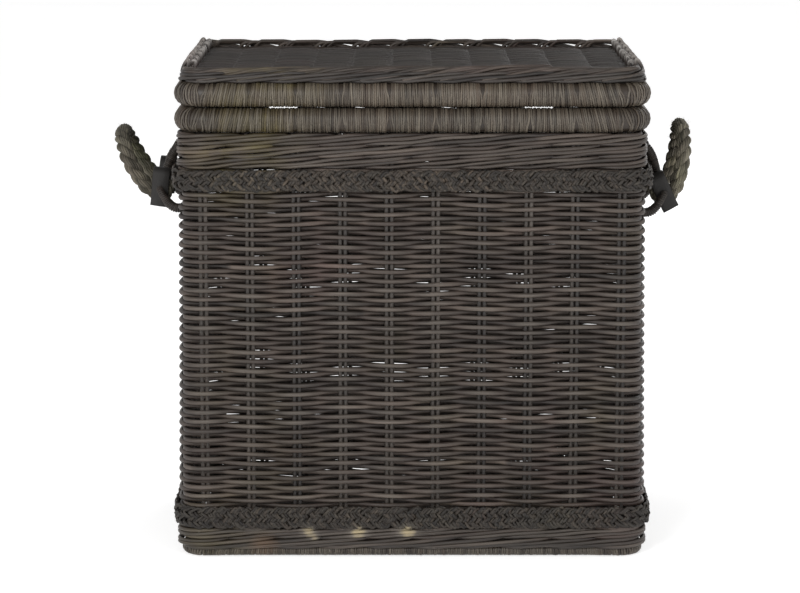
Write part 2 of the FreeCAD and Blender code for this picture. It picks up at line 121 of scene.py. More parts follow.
class Ring:
    """An outline with its stakes, numbered round it; u counts stakes, s is distance."""

    def __init__(self, half_x, half_y, corner, front, side):
        self.outline = Outline(half_x, half_y, corner)
        spots = [(x, -half_y) for x in front] + [(half_x, y) for y in side]
        spots += [(x, half_y) for x in front] + [(-half_x, y) for y in side]
        self.stakes = np.sort([self.outline.nearest(x, y) for x, y in spots])
        self.count = len(self.stakes)
        length = self.outline.length
        self.knots_s = np.r_[self.stakes[-1] - length, self.stakes, self.stakes[0] + length]
        self.knots_u = np.arange(-1, self.count + 1)

    def s_of(self, u):
        turns = np.floor(u / self.count)
        return np.interp(u - turns * self.count, self.knots_u, self.knots_s) + turns * self.outline.length


# ------------------------------------------------------------------ strands
TIP = 0.35  # how far a cut end is domed, in radii


def travel(points):
    """Distance along a path at each of its points."""
    return np.r_[0, np.cumsum(np.linalg.norm(np.diff(points, axis=0), axis=1))]


def smooth_step(share):
    share = np.clip(share, 0, 1)
    return share * share * (3 - 2 * share)


class Strands:
    """Collects swept tubes into one mesh. Each vertex keeps its place along and around its strand,
    the strand's seed, its tone and how worn it is, which the materials read."""

    def __init__(self):
        self.verts, self.grain, self.tone, self.wear = [], [], [], []
        self.quads, self.tris = [], []
        self.count = 0

    def tube(self, path, radius, up, closed=False, profile=8, tone=0.5, wear=0.0):
        """Sweep a round of profile points, or an outline in radii, along the path."""
        path = np.asarray(path, float)
        n = len(path)
        if isinstance(profile, int):
            angle = np.arange(profile) * TAU / profile + math.pi / 2
            profile = np.c_[np.cos(angle), np.sin(angle)]
        m = len(profile)
        if closed:
            tangent = np.roll(path, -1, 0) - np.roll(path, 1, 0)
            step = np.linalg.norm(path - np.roll(path, 1, 0), axis=1)
            step[0] = 0
        else:
            tangent = np.gradient(path, axis=0)
            step = np.r_[0, np.linalg.norm(np.diff(path, axis=0), axis=1)]
        tangent /= np.linalg.norm(tangent, axis=1)[:, None] + 1e-12
        up = np.broadcast_to(np.asarray(up, float), path.shape)
        side = np.cross(tangent, up)
        side /= np.linalg.norm(side, axis=1)[:, None] + 1e-12
        top = np.cross(side, tangent)
        radius = np.broadcast_to(np.asarray(radius, float), (n,))
        across = profile[None, :, 0, None] * side[:, None, :]
        upward = profile[None, :, 1, None] * top[:, None, :]
        verts = path[:, None, :] + radius[:, None, None] * (across + upward)
        along = np.cumsum(step)
        seed = rng.random()
        grain = np.empty((n, m, 3))
        grain[..., 0] = along[:, None] * MM
        grain[..., 1] = (np.arange(m) / m)[None, :]
        grain[..., 2] = seed
        tones = np.broadcast_to(np.asarray(tone, float), (n,))
        wears = np.broadcast_to(np.asarray(wear, float), (n,))
        self.verts.append(verts.reshape(-1, 3))
        self.grain.append(grain.reshape(-1, 3))
        self.tone.append(np.repeat(tones, m))
        self.wear.append(np.repeat(wears, m))
        rows = np.arange(n if closed else n - 1)
        cols = np.arange(m)
        i, j = np.meshgrid(rows, cols, indexing="ij")
        i2, j2 = (i + 1) % n, (j + 1) % m
        base = self.count
        quads = np.stack([i * m + j, i2 * m + j, i2 * m + j2, i * m + j2], -1).reshape(-1, 4) + base
        self.quads.append(quads)
        self.count += n * m
        if not closed:
            for end, way in ((0, -1), (n - 1, 1)):
                tip = path[end] + way * tangent[end] * radius[end] * TIP
                self.verts.append(tip[None, :])
                self.grain.append(grain[end, :1])
                self.tone.append(tones[end:end + 1])
                self.wear.append(wears[end:end + 1])
                edge = end * m + cols + base
                following = end * m + (cols + 1) % m + base
                tip_index = np.full(m, self.count)
                order = (following, edge, tip_index) if way < 0 else (edge, following, tip_index)
                self.tris.append(np.stack(order, -1))
                self.count += 1

    def mesh(self, name):
        verts = np.concatenate(self.verts) * MM
        quads = np.concatenate(self.quads)
        tris = np.concatenate(self.tris) if self.tris else np.empty((0, 3), int)
        mesh = bpy.data.meshes.new(name)
        mesh.vertices.add(len(verts))
        mesh.vertices.foreach_set("co", verts.ravel())
        loops = np.r_[quads.ravel(), tris.ravel()]
        mesh.loops.add(len(loops))
        mesh.loops.foreach_set("vertex_index", loops)
        sizes = np.r_[np.full(len(quads), 4), np.full(len(tris), 3)]
        mesh.polygons.add(len(sizes))
        mesh.polygons.foreach_set("loop_start", np.r_[0, np.cumsum(sizes)[:-1]])
        mesh.polygons.foreach_set("loop_total", sizes)
        mesh.update(calc_edges=True)
        mesh.polygons.foreach_set("use_smooth", np.ones(len(sizes), bool))
        for key, kind, field, data in (("grain", "FLOAT_VECTOR", "vector", self.grain),
                                       ("tone", "FLOAT", "value", self.tone),
                                       ("wear", "FLOAT", "value", self.wear)):
            layer = mesh.attributes.new(key, kind, "POINT")
            layer.data.foreach_set(field, np.concatenate(data).ravel())
        return mesh


def piece(name, strands, material, body, slot, *nodes):
    """Make the object, let it ride on its body and stand for its CAD nodes, if any."""
    mesh = strands.mesh(name)
    mesh.materials.append(material)
    item = bpy.data.objects.new(name, mesh)
    bpy.context.scene.collection.objects.link(item)
    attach(item, body)
    if nodes:
        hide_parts(*nodes)


def wander(length, reach, size):
    """Smooth periodic noise over one round: a sum of waves no shorter than reach millimetres."""
    phase = rng.random(6) * TAU
    waves = rng.integers(1, max(2, int(length / reach)), 6)
    gain = rng.normal(0, 1, 6)
    gain *= size / (np.linalg.norm(gain) + 1e-9) * 1.2
    return lambda s: sum(g * np.sin(TAU * w * s / length + p) for g, w, p in zip(gain, waves, phase))


def open_noise(count, reach, size):
    """Smooth noise for an open strand of count samples."""
    knots = rng.normal(0, size, max(3, int(count / reach) + 3))
    spot = np.linspace(0, len(knots) - 1, count)
    low = np.clip(spot.astype(int), 0, len(knots) - 2)
    part = smooth_step(spot - low)
    return knots[low] * (1 - part) + knots[low + 1] * part


def stretch_tone(count, pieces, middle=0.5, spread=0.2):
    """Tone along a row that is pieced together from several canes."""
    cuts = np.sort(rng.integers(0, count, pieces))
    levels = np.clip(rng.normal(middle, spread, pieces + 1), 0, 1)
    return levels[np.searchsorted(cuts, np.arange(count), side="right")]


# ------------------------------------------------------------------ materials
def node(tree, kind, **settings):
    item = tree.nodes.new(kind)
    for key, value in settings.items():
        setattr(item, key, value)
    return item


def link(tree, source, target):
    tree.links.new(source, target)


def ramp(tree, source, stops):
    """Colour ramp over source with (position, colour) stops."""
    item = node(tree, "ShaderNodeValToRGB")
    while len(item.color_ramp.elements) < len(stops):
        item.color_ramp.elements.new(0.5)
    for element, (position, colour) in zip(item.color_ramp.elements, stops):
        element.position = position
        element.color = (*colour, 1)
    link(tree, source, item.inputs[0])
    return item.outputs[0]


def mix(tree, blend, factor, first, second):
    item = node(tree, "ShaderNodeMix", data_type="RGBA", blend_type=blend)
    for socket, value in ((item.inputs[0], factor), (item.inputs[6], first), (item.inputs[7], second)):
        if isinstance(value, (int, float)):
            socket.default_value = value
        elif isinstance(value, tuple):
            socket.default_value = (*value, 1)
        else:
            link(tree, value, socket)
    return item.outputs[2]


def math_node(tree, operation, first, second=None, third=None, clamp=False):
    item = node(tree, "ShaderNodeMath", operation=operation, use_clamp=clamp)
    for socket, value in zip(item.inputs, (first, second, third)):
        if value is None:
            continue
        if isinstance(value, (int, float)):
            socket.default_value = value
        else:
            link(tree, value, socket)
    return item.outputs[0]


def noise(tree, vector, scale, detail):
    item = node(tree, "ShaderNodeTexNoise")
    item.inputs["Scale"].default_value = scale
    item.inputs["Detail"].default_value = detail
    item.inputs["Roughness"].default_value = 0.55
    link(tree, vector, item.inputs["Vector"])
    return item.outputs["Fac"]


def new_material(name):
    """(material, its node tree, its shader)"""
    material = bpy.data.materials.new(name)
    material.use_nodes = True
    return material, material.node_tree, material.node_tree.nodes["Principled BSDF"]


def relief(tree, shader, height, strength, distance):
    """Surface relief from a height value; distance is in metres."""
    bump = node(tree, "ShaderNodeBump")
    bump.inputs["Strength"].default_value = strength
    bump.inputs["Distance"].default_value = distance
    link(tree, height, bump.inputs["Height"])
    link(tree, bump.outputs[0], shader.inputs["Normal"])


def strand_vector(tree, along, around, seed):
    """The strand's own coordinates, scaled: cycles per metre along, per turn around, and a seed."""
    source = node(tree, "ShaderNodeAttribute", attribute_name="grain")
    scaled = node(tree, "ShaderNodeVectorMath", operation="MULTIPLY")
    link(tree, source.outputs["Vector"], scaled.inputs[0])
    scaled.inputs[1].default_value = (along, around, seed)
    return scaled.outputs[0]


# yellow-green weathered areas and a rust-brown one on the front: centre and reach in metres
MOSSY_SPOTS = [((-0.150, -0.175, 0.502), 0.075), ((-0.190, -0.170, 0.436), 0.075),
               ((-0.215, -0.170, 0.014), 0.065)]
RUSTY_SPOTS = [((-0.160, -0.172, 0.010), 0.020)]
OLIVE_TINT, MOSS_TINT, PLUM_TINT = (0.90, 1.04, 0.60), (1.16, 1.22, 0.52), (1.12, 0.88, 0.95)
FOOT_DARKENING_TINT, RUST, BARE_PITH = (0.62, 0.60, 0.52), (0.11, 0.062, 0.032), (0.33, 0.27, 0.16)
FINE_GRAIN = 160.0  # cycles per metre along a strand


def patch_mask(tree, place, centre, reach, ragged, gain):
    """Soft round mask about a point, broken up by a noise."""
    apart = node(tree, "ShaderNodeVectorMath", operation="DISTANCE")
    link(tree, place, apart.inputs[0])
    apart.inputs[1].default_value = centre
    near = math_node(tree, "MULTIPLY_ADD", apart.outputs["Value"], -1.6 / reach, 1.6, clamp=True)
    broken = math_node(tree, "MULTIPLY_ADD", ragged, 3.0, -0.7, clamp=True)
    return math_node(tree, "MULTIPLY", math_node(tree, "MULTIPLY", near, broken), gain, clamp=True)


def fibre_material(name, tones, streak=0.45, rough=(0.42, 0.62), bump=0.25, along=22.0, around=7.0,
                   olive=0.35, worn=(0.24, 0.21, 0.175), specular=0.4, mossy=0.0):
    """Stained plant fibre: tone per strand, streaks along it, weathered patches, darker towards the foot,
    wear up to 1 that shows the worn colour, and wear past 1 that bares the pith."""
    material, tree, shader = new_material(name)
    place = node(tree, "ShaderNodeTexCoord").outputs["Object"]
    tone = node(tree, "ShaderNodeAttribute", attribute_name="tone").outputs["Fac"]
    wear = node(tree, "ShaderNodeAttribute", attribute_name="wear").outputs["Fac"]
    long_grain = noise(tree, strand_vector(tree, along, around, 91.0), 1.0, 4.0)
    fine_grain = noise(tree, strand_vector(tree, FINE_GRAIN, around * 4, 53.0), 1.0, 2.0)
    patch = noise(tree, place, 9.0, 2.0)
    blotch = noise(tree, place, 38.0, 3.0)
    shift = math_node(tree, "MULTIPLY_ADD", blotch, 0.5, -0.25)
    level = math_node(tree, "ADD", tone, shift, clamp=True)
    base = ramp(tree, level, tones)
    streaks = ramp(tree, long_grain,
                   [(0.28, (1 - streak,) * 3), (0.5, (1.0,) * 3), (0.74, (1 + streak,) * 3)])
    base = mix(tree, "MULTIPLY", 1.0, base, streaks)
    green = ramp(tree, patch, [(0.54, (0, 0, 0)), (0.72, (olive,) * 3)])
    base = mix(tree, "MULTIPLY", green, base, OLIVE_TINT)
    for spot, reach in MOSSY_SPOTS:
        base = mix(tree, "MULTIPLY", patch_mask(tree, place, spot, reach, blotch, mossy), base, MOSS_TINT)
    for spot, reach in RUSTY_SPOTS:
        base = mix(tree, "MIX", patch_mask(tree, place, spot, reach, long_grain, mossy), base, RUST)
    plum = ramp(tree, noise(tree, place, 6.0, 2.0), [(0.55, (0, 0, 0)), (0.7, (0.5,) * 3)])
    base = mix(tree, "MULTIPLY", plum, base, PLUM_TINT)
    parts = node(tree, "ShaderNodeSeparateXYZ")
    link(tree, place, parts.inputs[0])
    # darker towards the foot of the basket, in uneven patches
    uneven = math_node(tree, "MULTIPLY", blotch, 1.1)
    foot_darkening = math_node(tree, "MULTIPLY_ADD", parts.outputs["Z"], -9.0, uneven, clamp=True)
    base = mix(tree, "MULTIPLY", foot_darkening, base, FOOT_DARKENING_TINT)
    scuffs = math_node(tree, "MULTIPLY_ADD", long_grain, 2.2, -0.6, clamp=True)
    base = mix(tree, "MIX", math_node(tree, "MULTIPLY", wear, scuffs, clamp=True), base, worn)
    past_worn = math_node(tree, "ADD", wear, -1.0, clamp=True)
    shreds = math_node(tree, "MULTIPLY_ADD", blotch, 3.0, -0.75, clamp=True)
    base = mix(tree, "MIX", math_node(tree, "MULTIPLY", past_worn, shreds, clamp=True), base, BARE_PITH)
    link(tree, base, shader.inputs["Base Color"])
    low, high = rough
    glossy = math_node(tree, "MULTIPLY_ADD", long_grain, high - low, low)
    link(tree, glossy, shader.inputs["Roughness"])
    shader.inputs["Specular IOR Level"].default_value = specular
    height = math_node(tree, "MULTIPLY_ADD", fine_grain, 0.5, math_node(tree, "MULTIPLY", long_grain, 0.7))
    relief(tree, shader, height, bump, 0.0012)
    return material


def leather_material(name):
    material, tree, shader = new_material(name)
    place = node(tree, "ShaderNodeTexCoord").outputs["Object"]
    cells = node(tree, "ShaderNodeTexVoronoi", feature="DISTANCE_TO_EDGE")
    cells.inputs["Scale"].default_value = 900.0
    link(tree, place, cells.inputs["Vector"])
    broad = noise(tree, place, 120.0, 3.0)
    fine = noise(tree, place, 1500.0, 2.0)
    wear = node(tree, "ShaderNodeAttribute", attribute_name="wear").outputs["Fac"]
    base = ramp(tree, broad, [(0.3, (0.006, 0.0055, 0.005)), (0.6, (0.011, 0.010, 0.0095)),
                              (0.8, (0.022, 0.020, 0.019))])
    edge = math_node(tree, "MULTIPLY", wear, fine)
    base = mix(tree, "MIX", edge, base, (0.035, 0.03, 0.026))
    link(tree, base, shader.inputs["Base Color"])
    link(tree, math_node(tree, "MULTIPLY_ADD", broad, 0.25, 0.42), shader.inputs["Roughness"])
    shader.inputs["Specular IOR Level"].default_value = 0.35
    creases = math_node(tree, "MULTIPLY_ADD", cells.outputs["Distance"], 4.0,
                        math_node(tree, "MULTIPLY", fine, 0.3), clamp=True)
    relief(tree, shader, creases, 0.35, 0.0005)
    return material


def dim(stops, *gain):
    """Colour stops with the red, green and blue of every colour scaled."""
    return [(position, tuple(g * channel for g, channel in zip(gain, colour))) for position, colour in stops]


CANE_TONES = [(0.0, (0.026, 0.020, 0.017)), (0.35, (0.052, 0.040, 0.034)), (0.65, (0.082, 0.066, 0.056)),
              (1.0, (0.145, 0.120, 0.102))]
PEEL_TONES = [(0.0, (0.040, 0.031, 0.024)), (0.4, (0.082, 0.065, 0.050)), (0.7, (0.125, 0.104, 0.082)),
              (1.0, (0.20, 0.175, 0.140))]
REED_TONES = [(0.0, (0.014, 0.011, 0.009)), (0.4, (0.040, 0.033, 0.026)), (0.7, (0.068, 0.058, 0.046)),
              (1.0, (0.135, 0.117, 0.092))]
YARN_TONES = [(0.0, (0.030, 0.029, 0.024)), (0.4, (0.060, 0.057, 0.046)), (0.7, (0.092, 0.088, 0.071)),
              (1.0, (0.150, 0.142, 0.118))]
WEAVER = fibre_material("weaver_cane", dim(CANE_TONES, 0.58, 0.53, 0.50), worn=(0.15, 0.13, 0.108),
                        mossy=0.8)
# painted shade: the same cane as the weavers, dimmed to about half, so that the lid's top, ribs and band look
# shaded
LID_CANE_SHADED = fibre_material("lid_cane_painted_shade", dim(CANE_TONES, 0.288, 0.277, 0.274), streak=0.25, olive=0.2,
                          worn=(0.09, 0.08, 0.07))
# partly painted highlight, partly wear: a lighter, greyer copy of the cane with a pale worn colour, for the
# folds' tops, which catch the light and are rubbed
HOOP_CANE_WORN_AND_HIGHLIT = fibre_material("hoop_cane_worn_and_highlit", dim(CANE_TONES, 0.85, 0.83, 0.82), olive=0.1,
                           worn=(0.40, 0.39, 0.375))
PEEL = fibre_material("peel_wrap", dim(PEEL_TONES, 0.57, 0.525, 0.48), streak=0.3, rough=(0.38, 0.58),
                      along=30.0, around=5.0, worn=(0.16, 0.14, 0.11), mossy=0.6)
EAR_PEEL = fibre_material("ear_peel", dim(PEEL_TONES, 0.27, 0.25, 0.245), streak=0.3, along=30.0,
                          around=5.0, worn=(0.10, 0.09, 0.08))
PLAIT = fibre_material("braid_cane", dim(REED_TONES, 0.46, 0.385, 0.345), streak=0.5, rough=(0.5, 0.72),
                       bump=0.45, olive=0.6, worn=(0.09, 0.078, 0.06))
ROPE = fibre_material("rope_fibre", dim(YARN_TONES, 1.5, 1.45, 1.32), streak=0.5, rough=(0.65, 0.9),
                      bump=0.5, along=45.0, olive=0.6, specular=0.2)
LEATHER = leather_material("strap_leather")


def stake_material():
    """For the stakes, which stay CAD rods: streaks up the rod in the object's own space."""
    material, tree, shader = new_material("stake_rods")
    place = node(tree, "ShaderNodeTexCoord").outputs["Object"]
    stretched = node(tree, "ShaderNodeVectorMath", operation="MULTIPLY")
    stretched.inputs[1].default_value = (1.0, 1.0, 0.04)
    link(tree, place, stretched.inputs[0])
    streaks = noise(tree, stretched.outputs[0], 420.0, 4.0)
    rods = noise(tree, stretched.outputs[0], 60.0, 1.0)
    base = ramp(tree, rods, [(0.35, (0.018, 0.014, 0.012)), (0.5, (0.034, 0.027, 0.022)),
                             (0.66, (0.060, 0.049, 0.041))])
    base = mix(tree, "MULTIPLY", 1.0, base, ramp(tree, streaks, [(0.3, (0.6,) * 3), (0.7, (1.4,) * 3)]))
    link(tree, base, shader.inputs["Base Color"])
    link(tree, math_node(tree, "MULTIPLY_ADD", streaks, 0.25, 0.42), shader.inputs["Roughness"])
    relief(tree, shader, streaks, 0.3, 0.0008)
    return material


STAKE_RODS = stake_material()
for cad_node in frame["nodes"].values():
    cad_node.data.materials.clear()
    cad_node.data.materials.append(STAKE_RODS)

# ------------------------------------------------------------------ walls
WALL = Ring(HALF_X, HALF_Y, CORNER, FRONT_X, SIDE_Y)
UPRIGHT = (0, 0, 1)
SPREAD = 0.9 * (STAKE_R + WEAVER_R)
FLARE = 3.2  # how much further out the foot of the wall stands than its top
BULGE, BULGE_REACH = 2.6, 30
# the loops' distance from the middle, the room beside one, how fast the dip eases in, and its height
LOOP_X = sum(corner[0] for corner in box_mm("hinge_loop_right")) / 2
LOOP_ROOM, LOOP_EASE, LOOP_FLOOR = 24, 12, 448.6
wall_wave = wander(WALL.outline.length, 260, 0.9)
wall_dip = wander(WALL.outline.length, 120, 0.8)


def near_corner(plan, reach):
    """1 at the wall's corners, fading within reach."""
    away = np.hypot(np.abs(plan[:, 0]) - HALF_X, np.abs(plan[:, 1]) - HALF_Y)
    return np.exp(-((away / reach) ** 2))


def wall_point(s, out, z):
    """Points of a strand that runs round the wall at distance out from its middle."""
    plan, normal = WALL.outline.at(s)
    depth = 1 - (z - LOWER_BRAID[0]) / (UPPER_BRAID[0] - LOWER_BRAID[0])
    out = out + FLARE * np.clip(depth, 0, 1) ** 1.5 + wall_wave(s) * 0.6
    out = out + BULGE * near_corner(plan, BULGE_REACH)
    # the top rows dip under the two hinge loops at the back, which swing down behind the rim
    beside = np.abs(np.abs(plan[:, 0]) - LOOP_X)
    dip = smooth_step((LOOP_ROOM - beside) / LOOP_EASE) * (plan[:, 1] > 0)
    z = z - dip * np.clip(z - LOOP_FLOOR, 0, None)
    return np.c_[plan + normal * out[:, None], z]


# across, height and reach of the places on the front's lower bands that are rubbed down to the pith
FRAYED = [(-112.0, 29.0, 7.0), (-106.0, 21.0, 4.0), (-58.0, 28.0, 8.0), (-5.0, 29.0, 8.5)]


def frayed(s, z, outline):
    """Extra wear at the rubbed places."""
    plan = outline.at(s)[0]
    front = plan[:, 1] < 0
    wear = np.zeros(len(s))
    for across, height, reach in FRAYED:
        near_x = ((plan[:, 0] - across) / reach) ** 2
        near_z = ((z - height) / (0.8 * reach)) ** 2
        wear += 2.2 * front * np.exp(-near_x - near_z)
    return wear


def shoulder(wave, sharp):
    """Square off a wave so that a cane lies flat over the pair of stakes it crosses."""
    return np.tanh(sharp * wave) / math.tanh(sharp)


def oval(sides, wide, tall, turn=0.0):
    """Cross-section in radii; turn is in steps between its points."""
    angle = (np.arange(sides) + turn) * TAU / sides
    return np.c_[wide * np.cos(angle), tall * np.sin(angle)]


ROW = 5.104
WEAVER_PROFILE = oval(8, 0.95, 1.08, 0.5)
SAMPLES = 8  # points per stake along a strand
WEAVE_PIECES = 4
weave_tall = UPPER_BRAID[1] - LOWER_BRAID[0]
row_count = round(weave_tall / ROW)
u = np.arange(WALL.count * SAMPLES) / SAMPLES
s = WALL.s_of(u)
# 0 on the front wall, whose weavers are slimmer and less even, and 1 on the others
inner = smooth_step((WALL.outline.at(s)[0][:, 1] + HALF_Y - 2) / 20)
for part in range(WEAVE_PIECES):
    weave = Strands()
    for row in range(part * row_count // WEAVE_PIECES, (part + 1) * row_count // WEAVE_PIECES):
        out = SPREAD * (1 - 0.22 * inner) * shoulder(np.cos(math.pi * (u + row)), 1.25)
        uneven = wander(WALL.outline.length, 90, 0.17)(s) * (1.9 - 0.9 * inner)
        z = LOWER_BRAID[0] + weave_tall / row_count * (row + 0.5) + wall_dip(s + 0.6 * row) + uneven
        thick = 0.97 + 0.19 * inner + rng.normal(0, 0.02) + wander(WALL.outline.length, 60, 0.02)(s)
        tone = stretch_tone(len(u), rng.integers(3, 8))
        proud = np.clip(out / SPREAD, 0, 1) ** 3 * rng.uniform(0.05, 0.7)
        weave.tube(wall_point(s, out, z), WEAVER_R * thick, UPRIGHT, True, WEAVER_PROFILE, tone, proud)
    nodes = ("weave_main",) if part == 0 else ()
    piece(f"weave_{part + 1}", weave, WEAVER, "basket", "weaver_cane", *nodes)


def wale(strands, ring, place, low, high, rows, radius, middle):
    """Four-strand wale: each cane runs in front of three stakes and behind the fourth, rising in front."""
    u = np.arange(ring.count * SAMPLES) / SAMPLES
    s = ring.s_of(u)
    tall = (high - low) / rows
    lift = tall / 2
    for row in range(rows):
        for strand in range(4):
            t = np.mod(u + strand + row, 4)
            depth = np.minimum(t, 4 - t)
            out = (STAKE_R + radius) * np.tanh(4.2 * (depth - 0.5))
            front = np.clip((t - 0.5) / 3, 0, 1)
            fall = 1 - 2 * smooth_step(np.mod(t - 3.5, 4))
            rise = np.where((t >= 0.5) & (t <= 3.5), -1 + 2 * front, fall)
            z = low + tall * (row + 0.5) + lift * rise + wander(ring.outline.length, 60, 0.5)(s)
            z = np.clip(z, low + radius * 0.8, high - radius * 0.8)
            tone = stretch_tone(len(u), rng.integers(3, 7), middle)
            proud = np.clip(out / (STAKE_R + radius), 0, 1) ** 2 * rng.uniform(0.1, 0.55)
            proud = proud + frayed(s, z, ring.outline)
            strands.tube(place(s, out, z), radius * (1 + rng.normal(0, 0.04)), UPRIGHT, True, 8, tone, proud)


for name, low, high, rows, middle in (("upper_wale", *UPPER_WALE, 3, 0.35),
                                      ("lower_wale", LOWER_WALE[0] - 5.5, LOWER_WALE[1] + 3, 2, 0.22)):
    strands = Strands()
    wale(strands, WALL, wall_point, low, high, rows, 2.1, middle)
    piece(f"{name}_strands", strands, WEAVER, "basket", "weaver_cane", name)


# ------------------------------------------------------------------ plaits
ZIGZAG_LENGTH = 38.0
LANES, REEDS, REED_SPREAD = 5, 3, 0.32
REED_PROFILE = oval(6, 1.2, 0.72)
POINTED = 0.97  # how sharply a lane turns back at the edges: 1 is a plain triangle wave


def plait(strands, low, high, out_centre, middle):
    """Flat plait round the wall: each lane zigzags across the band, over and under the others in turn,
    and is a bundle of thin reeds that spread and slip."""
    length = WALL.outline.length
    turns = round(length / ZIGZAG_LENGTH)
    s = np.linspace(0, length, turns * 20, endpoint=False)
    plan, normal = WALL.outline.at(s)
    up = np.c_[normal, np.zeros(len(s))]
    swing = (high - low) / 2 - 2.6
    for lane in range(LANES):
        slip = wander(length, 60, 0.24)(s)
        for reed in range(REEDS):
            phase = TAU * turns * s / length + TAU * lane / LANES + slip + wander(length, 50, 0.08)(s)
            phase = phase + (reed - (REEDS - 1) / 2) * REED_SPREAD
            zigzag = np.arcsin(POINTED * np.cos(phase)) / math.asin(POINTED)
            cover = np.cos(LANES * phase) * np.tanh(2.5 * np.sin(phase))
            z = (low + high) / 2 + swing * zigzag + wander(length, 40, 0.8)(s)
            out = out_centre + 2.2 * cover + rng.normal(0, 0.3) + wander(length, 40, 0.7)(s)
            path = np.c_[plan + normal * out[:, None], z]
            # painted shade: the plait is darkened by up to 70% near the wall's corners
            tone = stretch_tone(len(s), rng.integers(10, 22), middle, 0.3) * (1 - 0.7 * near_corner(plan, 28))
            strands.tube(path, rng.uniform(1.15, 1.5), up, True, REED_PROFILE, tone,
                         rng.uniform(0.0, 0.5) + frayed(s, z, WALL.outline))


for name, low, high, out, middle in (
        ("upper_braid", UPPER_BRAID[0] - 0.5, UPPER_BRAID[1] + 0.5, 11.0, 0.42),
        ("lower_braid", LOWER_BRAID[0] + 2.5, LOWER_BRAID[1] + 0.5, 12.2, 0.12)):
    strands = Strands()
    plait(strands, low, high, out, middle)
    piece(f"{name}_plait", strands, PLAIT, "basket", "braid_cane", name)


# ------------------------------------------------------------------ wrapped rods
def peel_profile(width, thick):
    """Cross-section of a peel: flat underneath, crowned on top."""
    return np.array([(width / 2, -thick / 2), (width * 0.36, thick * 0.30), (0, thick / 2),
                     (-width * 0.36, thick * 0.30), (-width / 2, -thick / 2), (0, -thick * 0.55)])


CORE_SINK = 0.9  # the rod under a winding is this much thinner than the wound rod
PARTING, PARTING_REACH = 2.4, 4.5
FAN, FAN_REACH = 0.012, 45
LOOSE_SHARE, LOOSE_LIFT = 0.06, 0.3


def wrap_rim(strands, outline, height, radius, slits, slit_side, spacing, middle, corner_swell=0.0):
    """Peel wound round a rod. The windings part at the slits, on the rod's lower or upper side, and fan
    out round the corners; a few lie loose."""
    core = outline.at(np.linspace(0, outline.length, 360, endpoint=False))[0]
    strands.tube(np.c_[core, np.full(360, height)], radius - CORE_SINK, UPRIGHT, True, 14, 0.05)
    corners = [outline.nearest(x, y) for x in (-900, 900) for y in (-900, 900)]
    gaps = spacing * rng.uniform(0.86, 1.14, int(outline.length / spacing))
    starts = np.cumsum(gaps) * outline.length / gaps.sum()
    angle = np.arange(16) * TAU / 16
    tone_walk = middle
    for start, gap in zip(starts, gaps):
        past = min((outline.offset(start, corner) for corner in corners), key=abs)
        tilt = rng.normal(0, 0.03)
        tilt += (rng.normal(0, 0.06) + FAN * past) * math.exp(-((past / FAN_REACH) ** 2))
        nearest = min(outline.offset(start, slits), key=abs)
        push = math.copysign(PARTING, nearest) * math.exp(-((nearest / PARTING_REACH) ** 2))
        side = np.clip(1.6 * slit_side * np.sin(angle) + 0.2, 0, 1)
        s = start + tilt * radius * np.sin(angle) + push * side
        plan, normal = outline.at(s)
        swell = radius - 0.42 + rng.normal(0, 0.07) + corner_swell * math.exp(-((past / 30) ** 2))
        tone_walk = 0.85 * tone_walk + 0.15 * rng.uniform(-0.4, 2 * middle + 0.4)
        loose = rng.random() < LOOSE_SHARE
        tone = np.clip(tone_walk + rng.normal(0, 0.12) + 0.3 * loose, 0, 1)
        swell += LOOSE_LIFT * loose
        path = np.c_[plan + normal * (swell * np.cos(angle))[:, None], height + swell * np.sin(angle)]
        up = np.c_[normal * np.cos(angle)[:, None], np.sin(angle)]
        strands.tube(path, 1.0, up, True, peel_profile(gap * 1.04, 0.75), tone, rng.uniform(0, 0.8))


def rim_outline(node_name):
    low, high = box_mm(node_name)
    radius = (high[2] - low[2]) / 2
    return Outline(high[0] - radius, high[1] - radius, CORNER), (low[2] + high[2]) / 2, radius


for prefix, body, side, middle in (("body_rim", "basket", -1, 0.18), ("lid_rim", "lid", 1, 0.38)):
    outline, height, radius = rim_outline(f"{prefix}_wrap")
    slits = np.array([outline.nearest(*WALL.outline.at([s])[0][0]) for s in WALL.stakes])
    strands = Strands()
    wrap_rim(strands, outline, height, radius, slits, side, 2.3, middle)
    piece(f"{prefix}_windings", strands, PEEL, body, "peel_wrap", f"{prefix}_wrap")

base_reach = box_mm("base_rim_wrap")[1]
base_outline = Outline(base_reach[0] - 5.2, base_reach[1] - 5.2, CORNER)
BASE_SLIT = 1052.567  # the base rim's one parting, towards the back of the left end
strands = Strands()
wrap_rim(strands, base_outline, 5.9, 5.6, np.array([BASE_SLIT]), 1, 2.4, 0.07, 0.7)
piece("base_rim_windings", strands, PEEL, "basket", "peel_wrap", "base_rim_wrap")


# ------------------------------------------------------------------ flat woven panels
def panel(strands, half_x, half_y, height, ribs, radius, rise, pitch, corner):
    """Canes run left to right over and under the ribs, which run front to back."""
    gap = ribs[1] - ribs[0]
    for row in range(int(2 * half_y / pitch)):
        y = -half_y + pitch * (row + 0.5) + rng.normal(0, 0.15)
        inset = max(0.0, corner - (half_y - abs(y)))
        reach = half_x - corner + math.sqrt(max(0.0, corner**2 - inset**2))
        x = np.linspace(-reach + 1, reach - 1, 110)
        wave = shoulder(np.cos(math.pi * ((x - ribs[0]) / gap + row)), 1.5)
        z = height + rise * wave + open_noise(len(x), 12, 0.15)
        y = y + open_noise(len(x), 10, 0.35)
        tone = stretch_tone(len(x), 1)
        strands.tube(np.c_[x, y, z], radius * (1 + rng.normal(0, 0.04)), UPRIGHT, False, 8, tone,
                     rng.uniform(0, 0.3))


